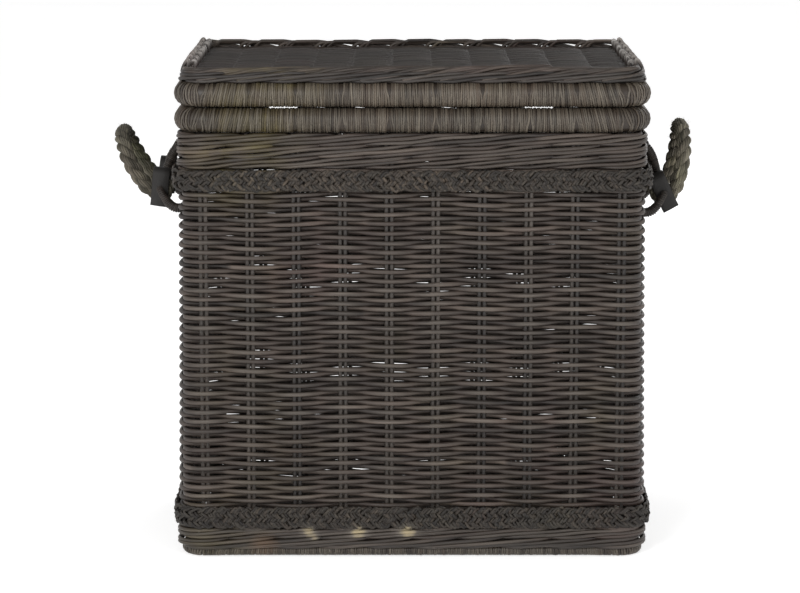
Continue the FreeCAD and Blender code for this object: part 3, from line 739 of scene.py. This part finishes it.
PANEL_CORNER = 14.0
low, high = box_mm("lid_top_panel")
middle_z = (low[2] + high[2]) / 2 + 0.4
strands = Strands()
panel(strands, high[0], high[1], middle_z, LID_X, 1.8, 1.7, 3.7, PANEL_CORNER)
piece("lid_top_strands", strands, LID_CANE_SHADED, "lid", "weaver_cane", "lid_top_panel")
strands = Strands()
for x in LID_X:
    y = np.linspace(-high[1] + 1, high[1] - 1, 40)
    path = np.c_[x + open_noise(40, 10, 0.3), y, np.full(40, middle_z)]
    strands.tube(path, 1.5, UPRIGHT, False, 8, rng.uniform(0.2, 0.6))
piece("lid_rib_canes", strands, LID_CANE_SHADED, "lid", "stake_cane", "lid_ribs")

low, high = box_mm("base_panel")
strands = Strands()
panel(strands, high[0], high[1], (low[2] + high[2]) / 2, BASE_X, 2.1, 4.6, 5.2, PANEL_CORNER)
piece("base_strands", strands, WEAVER, "basket", "weaver_cane", "base_panel")

# ------------------------------------------------------------------ lid band and border
BAND_LOW, BAND_HIGH = box_mm("lid_band")
LID_RING = Ring(BAND_HIGH[0] - 5, BAND_HIGH[1] - 5, 19.0, LID_X, LID_Y)
LID_FOOT_OUT, LID_SLOPE = 3.5, 0.34


def lid_point(s, out, z):
    """The band leans inwards as it rises."""
    plan, normal = LID_RING.outline.at(s)
    lean = LID_FOOT_OUT - LID_SLOPE * (z - BAND_LOW[2])
    return np.c_[plan + normal * (out + lean)[:, None], z]


strands = Strands()
wale(strands, LID_RING, lid_point, BAND_LOW[2] - 0.8, BAND_HIGH[2], 1, 1.95, 0.3)
piece("lid_band_strands", strands, LID_CANE_SHADED, "lid", "weaver_cane", "lid_band")

# the border: at each stake three canes leave the band, climb past the next two stakes and dive behind
# the band before the third. On each side they have their own spacing, girth and height of the crest,
# and their own share of the way at which they are up and start to dive
BORDER_LOW, BORDER_HIGH = box_mm("lid_top_border")
BORDER_SPAN, BORDER_START = 3.1, -0.3  # in stakes
BORDER_SIDES = {"end": {"lane_gap": 4.5, "girth": 2.1, "crest": -1.5, "climbed": 0.69, "dive_at": 0.72},
                "rear": {"lane_gap": 7.0, "girth": 1.95, "crest": 0.6, "climbed": 0.58, "dive_at": 0.76},
                "front": {"lane_gap": 11.0, "girth": 1.75, "crest": 0.0, "climbed": 0.52, "dive_at": 0.86}}
crest_wave = wander(LID_RING.outline.length, 200, 0.9)


def border_side(index):
    """The side on which the canes that leave the stake lie."""
    start, crest = LID_RING.outline.at(LID_RING.s_of(np.array([index + BORDER_START, index + 2.0])))[0]
    if min(abs(start[0]), abs(crest[0])) > BAND_HIGH[0] - 16:
        return "end"
    return "rear" if crest[1] > 0 else "front"


strands = Strands()
q = np.linspace(0, 1, 60)
for index in range(LID_RING.count):
    side = border_side(index)
    look = BORDER_SIDES[side]
    for lane in range(3):
        s = LID_RING.s_of(index + BORDER_START + q * BORDER_SPAN)
        s = s + lane * look["lane_gap"] + rng.normal(0, 1.2)
        climb = np.clip(q / look["climbed"], 0, 1)
        arch = climb**2.4 if side == "end" else smooth_step(climb) * 0.5 + climb * 0.5
        arch = arch * (1 - smooth_step((q - look["dive_at"]) / 0.14))
        foot = BAND_LOW[2] + 2.0 + lane
        crest = BORDER_HIGH[2] - 1.8 - lane + rng.normal(0, 0.4) + look["crest"]
        droop = 2.2 * np.clip(-LID_RING.outline.at(s)[0][:, 1] / 150, 0, 1)
        z = foot + (crest - foot - droop) * arch + crest_wave(s) * arch
        out = 3.6 - 7.0 * smooth_step((q - 0.45) / 0.4) - lane * 0.6 + rng.normal(0, 0.3)
        tone = np.clip(rng.normal(0.32, 0.2), 0, 1)
        strands.tube(lid_point(s, out, z), look["girth"] + rng.normal(0, 0.06), UPRIGHT, False, 8, tone,
                     rng.uniform(0.06, 0.3))
# two straight canes fill the border behind the panel's rear edge
REAR_REACH = 236
rear = LID_RING.outline.length / 2
s = np.linspace(rear - REAR_REACH, rear + REAR_REACH, 200)
for out, z in ((-5.5, BORDER_LOW[2] - 1.6), (-8.5, BORDER_LOW[2] - 2.4)):
    path = lid_point(s, out + open_noise(200, 20, 0.3), z + open_noise(200, 18, 0.5))
    strands.tube(path, 1.9, UPRIGHT, False, 8, 0.3, 0.1)
piece("lid_border_strands", strands, WEAVER, "lid", "weaver_cane", "lid_top_border")

# at the two ends worn canes fold over the top, two narrow upright folds to a stake: their place outwards
# and round the lid, lowest and highest rise, and how much their tops are lightened, as wear and as painted
# highlight
FOLDS = [(2.4, 0.0, 8.2, 10.2, 0.6), (-4.4, 5.0, 7.2, 9.2, 1.0)]
sweep = np.linspace(-0.5, math.pi + 0.35, 22)
# each fold is lighter towards its top: partly wear, partly a painted highlight where the light catches the top
worn_and_highlit_top = np.clip(np.sin(sweep), 0, 1) ** 2
strands = Strands()
for hand in (-1, 1):
    for y in LID_Y:
        for fold_out, shift, least, most, worn in FOLDS:
            middle = LID_RING.outline.nearest(hand * (BAND_HIGH[0] - 5), y + shift)
            s = middle + np.linspace(-2, 2, 22) + rng.normal(0, 1.4)
            out = fold_out + rng.uniform(2.4, 3.4) * np.cos(sweep)
            z = BORDER_LOW[2] + 0.5 + rng.uniform(least, most) * np.sin(sweep)
            strands.tube(lid_point(s, out, z), 2.0, (0, 1, 0), False, 8, 0.1 + 0.9 * worn_and_highlit_top, worn * worn_and_highlit_top)
piece("lid_border_hoops", strands, HOOP_CANE_WORN_AND_HIGHLIT, "lid", "weaver_cane")

# ------------------------------------------------------------------ hinge loops
for name in ("hinge_loop_left", "hinge_loop_right"):
    low, high = box_mm(name)
    centre = (low + high) / 2
    radius = (high[1] - low[1]) / 2
    rise = high[2] - low[2] - 2 * radius
    angle = np.r_[np.linspace(math.pi, TAU, 20), np.linspace(0, math.pi, 20)]
    up = np.c_[np.zeros(40), np.cos(angle), np.sin(angle)]
    base_z = low[2] + radius + np.repeat([0.0, rise], 20)
    strands = Strands()
    for x in spaced(5, 2.75):
        reach = radius - 1.1 + rng.normal(0, 0.1)
        path = np.c_[np.full(40, centre[0] + x), centre[1] + reach * np.cos(angle), base_z]
        path[:, 2] += reach * np.sin(angle)
        strands.tube(path, 1.0, up, True, peel_profile(2.8, 1.5), rng.uniform(0.2, 0.8), 0.2)
    piece(f"{name}_peel", strands, PEEL, "lid", "peel_wrap", name)


# ------------------------------------------------------------------ ears, ropes and straps
JOINTS = {joint["name"]: joint for joint in frame["record"]["behaviour"]["joints"]}
LEAN = {"left": 30.0, "right": 10.0}
SPACING = 50.0
EAR_HALF, EAR_R, WALL_EAR_R = 15.0, 4.0, 5.2  # thicker at the wall than at the bar
EAR_ROOT, EAR_TOP_OUT, EAR_LOW_OUT = 250.1, 263.0, 264.0
EYE_R, EYE_TUBE, EYE_TURN = 10.0, 5.5, 262
ROPE_R, BAIL_TALL, BAIL_BEND = 9.0, 71.0, 40.0
STRAND_LAY, YARN_LAY, YARNS, HAIRS = 40.0, 26.0, 8, 70
STRAP_TILT, STRAP_TAIL, STRAP_SHORT = -37.0, 19.0, 10.0


def smooth(points, rounds):
    """Corner cutting that keeps both ends."""
    points = np.asarray(points, float)
    for _ in range(rounds):
        first, last = points[:1], points[-1:]
        near = 0.75 * points[:-1] + 0.25 * points[1:]
        far = 0.25 * points[:-1] + 0.75 * points[1:]
        points = np.concatenate([first, np.stack([near, far], 1).reshape(-1, 3), last])
    return points


def resample(points, step):
    length = travel(points)
    spots = np.linspace(0, length[-1], max(4, int(length[-1] / step)))
    return np.stack([np.interp(spots, length, points[:, k]) for k in range(3)], 1)


def steady_frames(path):
    """Tangents and two normals that don't twist along the path."""
    tangent = np.gradient(path, axis=0)
    tangent /= np.linalg.norm(tangent, axis=1)[:, None]
    first = np.cross(tangent[0], (0, 0, 1.0))
    if np.linalg.norm(first) < 0.1:
        first = np.cross(tangent[0], (0, 1.0, 0))
    first /= np.linalg.norm(first)
    a = [first]
    for t in tangent[1:]:
        v = a[-1] - t * np.dot(a[-1], t)
        a.append(v / np.linalg.norm(v))
    a = np.array(a)
    return tangent, a, np.cross(tangent, a)


def wound_tube(strands, path, radius, spacing):
    """A cane with peel wound round it; radius has one value per point of the path."""
    _, a, b = steady_frames(path)
    strands.tube(path, radius - CORE_SINK, a, False, 12, 0.05)
    length = travel(path)
    angle = np.arange(14) * TAU / 14
    for start in np.arange(spacing / 2, length[-1], spacing):
        spot = start + spacing * 0.35 * np.sin(angle)
        centre, side, top = (np.stack([np.interp(spot, length, column) for column in rows.T], 1)
                             for rows in (path, a, b))
        up = side * np.cos(angle)[:, None] + top * np.sin(angle)[:, None]
        swell = np.interp(spot, length, radius)[:, None] - 0.4 + rng.normal(0, 0.1)
        strands.tube(centre + up * swell, 1.0, up, True, peel_profile(spacing * 1.05, 0.9),
                     np.clip(rng.normal(0.35, 0.2), 0, 1), rng.uniform(0, 0.3))


def rope_centre():
    """Centre line of the bail in its upright frame: an eye round the bar, a leg, the arch, and back."""
    bend, tall = BAIL_BEND, BAIL_TALL
    turn = np.radians(np.arange(-EYE_TURN, 1, 6))
    eye = np.c_[EYE_R * np.cos(turn), np.full(len(turn), -SPACING), EYE_R * np.sin(turn)]
    rise = np.linspace(3, tall - bend, 6)
    leg = np.c_[np.full(6, EYE_R), np.full(6, -SPACING), rise]
    arc = np.linspace(0, math.pi / 2, 16)[1:]
    corner = np.c_[np.full(15, EYE_R), -SPACING + bend - bend * np.cos(arc), tall - bend + bend * np.sin(arc)]
    half = np.concatenate([eye, leg, corner])
    share = np.clip(half[:, 2] / tall, 0, 1) * (half[:, 0] > 0)
    half[:, 0] += 18 * share * (1 - share)
    other = half[::-1] * (1, -1, 1)
    return resample(smooth(np.concatenate([half, other]), 1), 1.6)


def placement(side):
    """(-1 or 1 for the side, the handle's pivot)"""
    return -1 if side == "left" else 1, np.array(JOINTS[f"{side}_handle_swing"]["pos_m"]) / MM


def to_handle(points, side, tilt=0.0):
    """From the bail's upright frame (x away from the wall) to the shared frame; tilt is in degrees."""
    out, pivot = placement(side)
    angle = math.radians(LEAN[side] + tilt)
    x, y, z = points[..., 0], points[..., 1], points[..., 2]
    leaned_x = x * math.cos(angle) + z * math.sin(angle)
    leaned_z = -x * math.sin(angle) + z * math.cos(angle)
    return np.stack([pivot[0] + out * leaned_x, y, pivot[2] + leaned_z], -1)


def turn_vector(vector, side, tilt=0.0):
    """As to_handle, for a direction."""
    return to_handle(vector, side, tilt) - to_handle(np.zeros(3), side, tilt)


def rope(side):
    """Three strands laid round each other, each of eight yarns round a core, with stray hairs."""
    strands = Strands()
    centre = rope_centre()
    n = len(centre)
    tangent, a, b = steady_frames(centre)
    length = travel(centre)
    from_end = np.minimum(length, length[-1] - length)
    eye_arc = math.radians(EYE_TURN) * EYE_R
    thick = np.interp(from_end, [eye_arc - 3, eye_arc + 9], [EYE_TUBE, ROPE_R - 0.2])
    thick = thick * (1 + open_noise(n, 14, 0.02))
    thick *= np.clip(0.7 + from_end / 12, 0, 1)
    for strand in range(3):
        lay = TAU * length / STRAND_LAY + TAU * strand / 3
        core = centre + 0.48 * thick[:, None] * (a * np.cos(lay)[:, None] + b * np.sin(lay)[:, None])
        _, c, d = steady_frames(core)
        # painted shade: the left rope's strands get half the tone, darkening it against the key light that
        # falls on it
        level = rng.uniform(0.35, 0.65) * (0.5 if side == "left" else 1.0)
        for yarn in range(YARNS + 1):
            in_core = yarn == YARNS
            own = TAU * yarn / YARNS - TAU * length / YARN_LAY
            reach = 0.36 * thick * (1 + open_noise(n, 9, 0.05)) * (not in_core)
            path = core + reach[:, None] * (c * np.cos(own)[:, None] + d * np.sin(own)[:, None])
            girth = thick * (0.26 if in_core else 0.155) * (1 + open_noise(n, 8, 0.06))
            tone = np.clip(level + rng.normal(0, 0.2) + open_noise(n, 20, 0.1), 0, 1)
            strands.tube(to_handle(path, side), girth, turn_vector(path - centre, side), False, 6, tone,
                         rng.uniform(0, 0.5))
    for _ in range(HAIRS):
        i = rng.integers(6, n - 6)
        way = rng.uniform(0, TAU)
        outward = a[i] * math.cos(way) + b[i] * math.sin(way)
        start = centre[i] + thick[i] * 0.92 * outward
        ahead = outward * rng.uniform(0.4, 1.0)
        ahead = ahead + tangent[i] * rng.choice((-1, 1)) * rng.uniform(0.6, 1.6)
        q = np.linspace(0, rng.uniform(2.0, 5.0), 5)
        curl = rng.normal(0, 0.06, 3)
        path = start + ahead * q[:, None] + curl * (q**2)[:, None]
        strands.tube(to_handle(path, side), 0.16 * np.linspace(1, 0.5, 5), (0.3, 0.2, 0.93), False, 3,
                     rng.uniform(0.4, 1.0), 0.4)
    piece(f"{side}_rope_twist", strands, ROPE, f"{side}_handle", "rope", f"{side}_rope")


def strap(side, end, way):
    """Folded leather strap: a flat band that goes down the outer flank, over the eye and back."""
    near, top = EYE_TUBE + 1.9, EYE_R + EYE_TUBE + 7.0
    arc = np.radians(np.linspace(180, 0, 13))
    fold = [(-near, -STRAP_TAIL), (-near, -STRAP_SHORT), (-near, 0.0)]
    fold += [(near * math.cos(t), top - near + near * math.sin(t)) for t in arc]
    fold += [(near, 0.0), (near, -STRAP_SHORT)]
    line = resample(np.array([(0, y, z) for y, z in fold]), 1.5)
    line[:, 0] += 0.5 * np.sin(line[:, 2] / 9)
    strands = Strands()
    half, thin, soft = 9.3, 1.1, 0.5
    outline = [(half, -thin + soft), (half, thin - soft), (half - soft, thin), (half * 0.5, thin + 0.15),
               (0, thin + 0.2), (-half * 0.5, thin + 0.15), (-half + soft, thin), (-half, thin - soft),
               (-half, -thin + soft), (-half + soft, -thin), (half - soft, -thin)]
    placed = line.copy()
    placed[:, 1] = placed[:, 1] * -way + way * SPACING
    placed = to_handle(placed, side, STRAP_TILT)
    across = turn_vector(np.array([1.0, 0, 0]), side, STRAP_TILT)
    up = np.cross(across, np.gradient(placed, axis=0))
    strands.tube(placed, 1.0, up, False, np.array(outline), 0.5, 0.35)
    piece(f"{side}_strap_{end}_leather", strands, LEATHER, f"{side}_handle", "strap_leather",
          f"{side}_strap_{end}")


def ear(side, end, way):
    """Wound cane that leaves the wall above the bar, carries the rope's eye and goes back in below it."""
    out, pivot = placement(side)
    low, high = box_mm(f"{side}_ear_{end}")
    foot, head = low[2] + EAR_R, high[2] - EAR_R
    outer, inner = way * (SPACING + EAR_HALF), way * (SPACING - EAR_HALF)
    points = [(EAR_ROOT * out, inner, head), (EAR_TOP_OUT * out, inner, head), (pivot[0], inner, pivot[2]),
              (pivot[0], way * SPACING, pivot[2]), (pivot[0], outer, pivot[2]),
              (EAR_LOW_OUT * out, outer, foot), (EAR_ROOT * out, outer, foot)]
    strands = Strands()
    path = resample(smooth(points, 3), 1.2)
    wound_tube(strands, path, np.interp(np.abs(path[:, 0]), [266, 275], [WALL_EAR_R, EAR_R]), 2.0)
    piece(f"{side}_ear_{end}_wound", strands, EAR_PEEL, "basket", "peel_wrap", f"{side}_ear_{end}")


for side in ("left", "right"):
    rope(side)
    for end, way in (("front", -1), ("rear", 1)):
        strap(side, end, way)
        ear(side, end, way)


# ------------------------------------------------------------------ studio
def plain_material(name, colour, rough, glow):
    material, _, shader = new_material(name)
    shader.inputs["Base Color"].default_value = (*colour, 1)
    shader.inputs["Roughness"].default_value = rough
    shader.inputs["Emission Color"].default_value = (1, 1, 1, 1)
    shader.inputs["Emission Strength"].default_value = glow
    return material


def stage_sheet(name, corners, material):
    mesh = bpy.data.meshes.new(name)
    mesh.from_pydata(corners, [], [(0, 1, 2, 3)])
    mesh.materials.append(material)
    item = bpy.data.objects.new(name, mesh)
    bpy.context.scene.collection.objects.link(item)


stage_sheet("studio_floor", [(-9, -9, 0), (9, -9, 0), (9, 9, 0), (-9, 9, 0)],
            plain_material("floor_pale", (0.9, 0.9, 0.9), 0.9, 0.5))


def area_light(name, place, target, size, power):
    data = bpy.data.lights.new(name, "AREA")
    data.shape = "RECTANGLE"
    data.size, data.size_y = size
    data.energy = power
    item = bpy.data.objects.new(name, data)
    bpy.context.scene.collection.objects.link(item)
    item.location = place
    item.rotation_euler = (Vector(target) - Vector(place)).to_track_quat("-Z", "Y").to_euler()


area_light("key", (-1.3, -2.9, 1.7), (0, 0, 0.3), (1.2, 1.2), 52)
area_light("fill", (2.2, -2.2, 1.1), (0, 0, 0.3), (1.6, 1.6), 20)
area_light("rim", (1.4, 2.8, 1.6), (0, 0, 0.3), (1.6, 1.6), 22)

world = bpy.data.worlds.new("studio")
world.use_nodes = True
sky = world.node_tree
direction = node(sky, "ShaderNodeTexCoord").outputs["Generated"]
parts = node(sky, "ShaderNodeSeparateXYZ")
link(sky, direction, parts.inputs[0])
height = ramp(sky, parts.outputs["Z"], [(0.30, (1.0, 1.0, 1.0)), (0.75, (0.30, 0.30, 0.30))])
link(sky, height, sky.nodes["Background"].inputs["Color"])
sky.nodes["Background"].inputs["Strength"].default_value = 1.05
bpy.context.scene.world = world
bpy.context.scene.view_settings.view_transform = "Standard"

CAMERA_DOWN = 0.1648
camera_data = bpy.data.cameras.new("camera")
camera_data.sensor_width = 36.0
camera_data.lens = 137.9
camera_data.clip_end = 60
camera = bpy.data.objects.new("camera", camera_data)
bpy.context.scene.collection.objects.link(camera)
camera.location = (-0.0132, -3.4, 0.824)
camera.rotation_euler = (math.pi / 2 - CAMERA_DOWN, 0, 0)
bpy.context.scene.camera = camera
